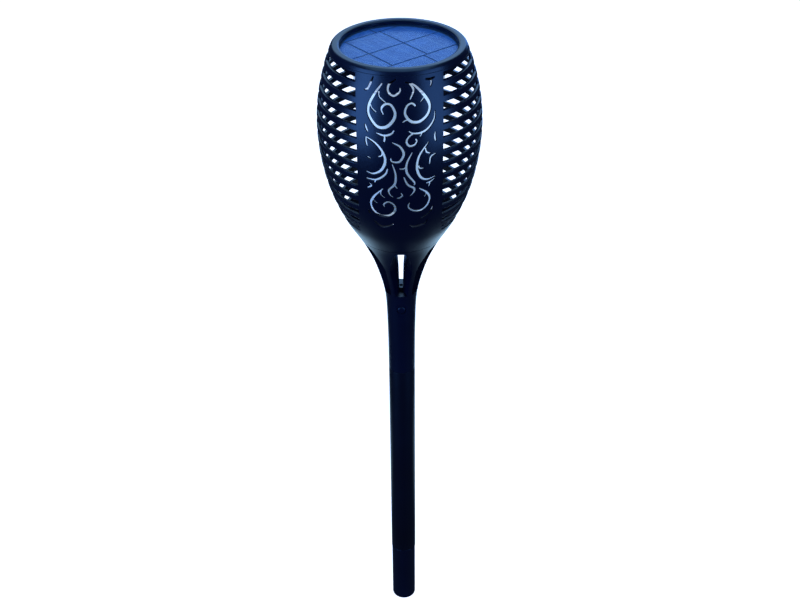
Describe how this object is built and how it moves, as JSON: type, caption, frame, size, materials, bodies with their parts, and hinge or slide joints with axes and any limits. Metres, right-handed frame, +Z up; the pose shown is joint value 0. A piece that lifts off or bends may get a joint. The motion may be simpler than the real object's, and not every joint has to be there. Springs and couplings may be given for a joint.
{
  "type": "solar garden torch",
  "caption": "Solar garden torch: pierced barrel basket on a slim pole, with a lift-out light unit, frosted diffuser and reversible ground stake.",
  "frame": {"origin": "centre of the flat lower end of the ground stake's round shank", "axes": "+Z up along the pole's axis, the front filigree panel faces -Y, +X to the right seen from the front"},
  "size_m": [0.118, 0.118, 0.543],
  "materials": {
    "black_plastic": "semi-gloss moulded, very dark navy black",
    "coated_steel": "semi-gloss powder coat, very dark navy black",
    "frosted_plastic": "frosted, translucent",
    "white_plastic": "matte",
    "clear_cover": "clear cast resin, polished",
    "silicon": "blue solar cell",
    "circuit_board": "solder mask",
    "bare_steel": "plain",
    "soft_rubber": "matte",
    "battery_wrap": "shrink wrap",
    "red_insulation": "matte",
    "black_insulation": "matte"
  },
  "bodies": {
    "ground_stake": {"ground_stake": "black_plastic"},
    "pole_and_basket": {"pole_tube": "coated_steel", "lock_spring": "bare_steel", "neck": "black_plastic", "basket_front_half": "black_plastic", "basket_rear_half": "black_plastic"},
    "lock_button": {"lock_button": "black_plastic"},
    "light_unit": {"cap_ring": "black_plastic", "panel_cover": "clear_cover", "panel_board": "circuit_board", "panel_gasket": "soft_rubber", "cap_tray": "black_plastic", "battery_housing": "white_plastic", "battery": "battery_wrap", "battery_holder": "black_plastic", "contact_left": "bare_steel", "contact_right": "bare_steel", "main_board": "circuit_board", "driver_chip": "black_plastic", "charge_coil": "soft_rubber", "switch_body": "black_plastic", "housing_cover": "white_plastic", "led_core": "white_plastic", "led_board": "white_plastic", "core_end_cap": "white_plastic", "panel_lead_red": "red_insulation", "panel_lead_black": "black_insulation", "battery_lead_red": "red_insulation", "battery_lead_black": "black_insulation", "light_lead": "black_insulation", "solar_cell_01": "silicon", "solar_cell_02": "silicon", "solar_cell_03": "silicon", "solar_cell_04": "silicon", "solar_cell_05": "silicon", "solar_cell_06": "silicon", "solar_cell_07": "silicon", "solar_cell_08": "silicon", "solar_cell_09": "silicon", "solar_cell_10": "silicon", "cover_screw_1": "bare_steel", "cover_screw_2": "bare_steel", "cover_screw_3": "bare_steel"},
    "power_button": {"power_button": "soft_rubber"},
    "diffuser": {"diffuser": "frosted_plastic", "diffuser_end_cap": "white_plastic"}
  },
  "joints": [
    {"name": "stake_pull", "type": "slide", "parent": "ground_stake", "child": "pole_and_basket", "axis": [0, 0, 1], "range_m": [0, 0.16]},
    {"name": "light_unit_lift", "type": "slide", "parent": "pole_and_basket", "child": "light_unit", "axis": [0, 0, 1], "range_m": [0, 0.13]},
    {"name": "diffuser_turn", "type": "hinge", "parent": "light_unit", "child": "diffuser", "pos_m": [0, 0, 0.5168], "axis": [0, 0, 1], "range_deg": [-30, 0]},
    {"name": "power_button_press", "type": "slide", "parent": "light_unit", "child": "power_button", "axis": [0, 0, 1], "range_m": [0, 0.001], "stiffness_N_per_m": 600, "springref_m": -0.0008},
    {"name": "lock_button_press", "type": "slide", "parent": "pole_and_basket", "child": "lock_button", "axis": [0, 1, 0], "range_m": [0, 0.0022], "stiffness_N_per_m": 900, "springref_m": -0.0006}
  ]
}
